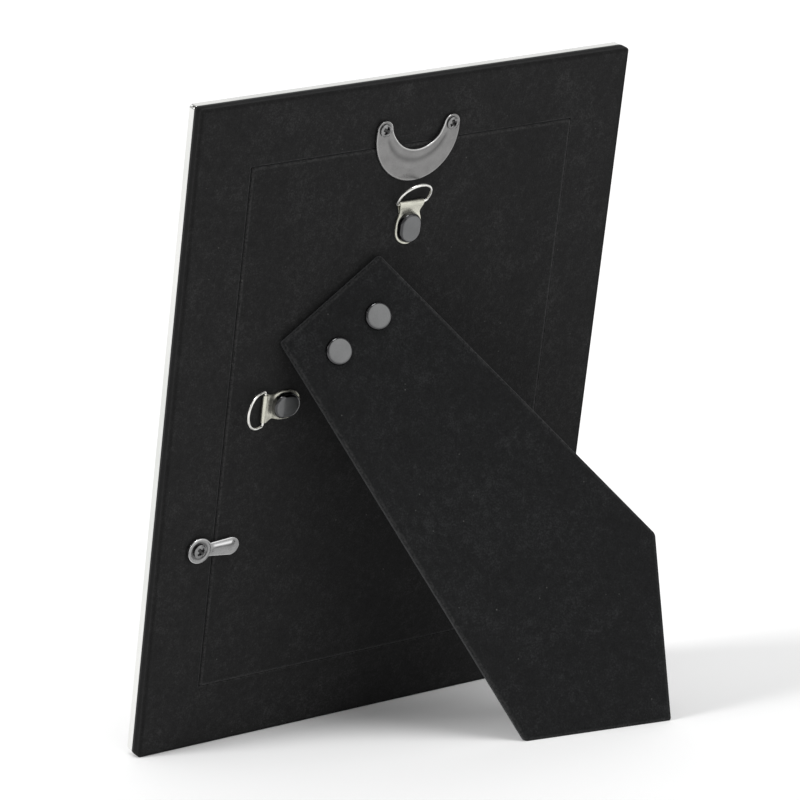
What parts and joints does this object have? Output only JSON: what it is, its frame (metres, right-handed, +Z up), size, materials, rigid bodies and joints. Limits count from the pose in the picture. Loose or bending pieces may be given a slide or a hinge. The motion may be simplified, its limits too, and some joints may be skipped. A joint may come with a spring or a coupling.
{
  "type": "photo frame",
  "caption": "Easel-back photo frame: thin polished metal moulding, black velvet back with lift-out panel, slanted hinged strut, crescent clip, turn button and wall rings.",
  "frame": {"origin": "middle of the part's width and depth, on the surface it stands on", "axes": "+Z up, the picture faces -Y and the velvet back faces +Y, X runs across the width"},
  "size_m": [0.176, 0.0982, 0.2267],
  "materials": {
    "silver": "polished silver plate",
    "core_wood": "plain",
    "hardboard": "plain hardboard",
    "velvet": "short black pile",
    "glass": "clear",
    "print": "blank",
    "card": "plain",
    "ring_nickel": "bright nickel",
    "strap_nickel": "pale nickel, satin",
    "rivet_grey": "satin",
    "clip_steel": "satin",
    "button_steel": "bright zinc",
    "screw_steel": "bright",
    "hinge_steel": "plain"
  },
  "bodies": {
    "frame": {"rail_top": "silver", "rail_bottom": "silver", "rail_left": "silver", "rail_right": "silver", "core_frame": "core_wood", "glass_pane": "glass", "print_sheet": "print", "backing_card": "card", "border_board": "hardboard", "border_velvet": "velvet", "panel_board": "hardboard", "panel_velvet": "velvet", "hinge_fixed_leaf": "hinge_steel", "hinge_pin": "hinge_steel", "leaf_rivet_left": "hinge_steel", "leaf_rivet_right": "hinge_steel", "crescent_clip": "clip_steel", "clip_screw_left": "screw_steel", "clip_screw_right": "screw_steel", "top_strap": "strap_nickel", "top_rivet": "rivet_grey", "side_strap": "strap_nickel", "side_rivet": "rivet_grey", "button_screw": "screw_steel"},
    "strut": {"strut_board": "hardboard", "strut_velvet": "velvet", "strut_rivet_left": "rivet_grey", "strut_rivet_right": "rivet_grey", "hinge_moving_leaf": "hinge_steel"},
    "top_ring_body": {"top_ring": "ring_nickel"},
    "side_ring_body": {"side_ring": "ring_nickel"},
    "button_body": {"turn_button": "button_steel"}
  },
  "joints": [
    {"name": "strut_hinge", "type": "hinge", "parent": "frame", "child": "strut", "pos_m": [0.026, -0.00243, 0.14844], "axis": [0.8211, -0.14, -0.5533], "range_deg": [-26.8, 0]},
    {"name": "top_ring_swing", "type": "hinge", "parent": "frame", "child": "top_ring_body", "pos_m": [-0.0003, 0.00575, 0.18258], "axis": [1, 0, 0], "range_deg": [-120, 22]},
    {"name": "side_ring_swing", "type": "hinge", "parent": "frame", "child": "side_ring_body", "pos_m": [0.0518, -0.01043, 0.11859], "axis": [0, -0.2453, -0.9694], "range_deg": [-130, 17]},
    {"name": "turn_button_swivel", "type": "hinge", "parent": "frame", "child": "button_body", "pos_m": [0.0723, -0.02367, 0.07222], "axis": [0, 0.9694, -0.2453], "continuous": true}
  ]
}
